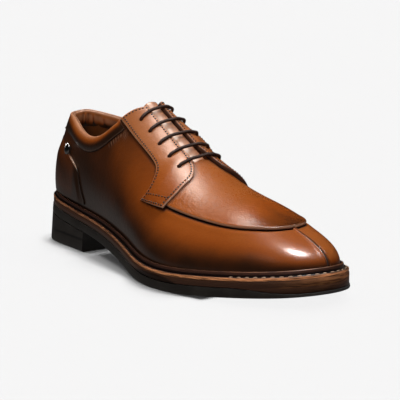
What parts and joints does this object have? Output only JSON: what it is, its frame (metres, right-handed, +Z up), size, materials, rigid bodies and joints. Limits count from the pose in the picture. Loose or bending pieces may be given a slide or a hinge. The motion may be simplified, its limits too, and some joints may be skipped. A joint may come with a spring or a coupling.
{
  "type": "split-toe derby shoe",
  "caption": "Right split-toe derby shoe: hollow leather upper with raised apron, open lacing over a tongue, padded collar, heel counter, storm welt, and a layered sole with a block heel.",
  "frame": {"origin": "on the floor under the middle of the shoe's bounding box", "axes": "+X from heel to toe, +Y to the wearer's left (the medial side), +Z up"},
  "size_m": [0.3098, 0.108, 0.1136],
  "materials": {
    "upper_leather": "burnished and polished calf",
    "apron_leather": "polished calf",
    "eyestay_leather": "polished calf",
    "counter_leather": "dark burnished calf",
    "collar_leather": "soft padded calf",
    "tongue_leather": "soft calf",
    "lining_leather": "natural lining leather",
    "welt_leather": "waxed leather edge",
    "midsole_leather": "stained leather edge",
    "sole_rubber": "satin black rubber",
    "waxed_lace": "waxed round cotton",
    "stud_metal": "black enamelled"
  },
  "bodies": {
    "root": {"upper": "upper_leather", "apron": "apron_leather", "toe_seam": "upper_leather", "eyestay_lateral": "eyestay_leather", "eyestay_medial": "eyestay_leather", "counter": "counter_leather", "collar": "collar_leather", "tongue": "tongue_leather", "insole": "lining_leather", "welt": "welt_leather", "midsole": "midsole_leather", "outsole": "sole_rubber", "heel": "sole_rubber", "lace_bar_1": "waxed_lace", "lace_bar_2": "waxed_lace", "lace_bar_3": "waxed_lace", "lace_bar_4": "waxed_lace", "lace_bar_5": "waxed_lace", "stud": "stud_metal"}
  },
  "joints": []
}
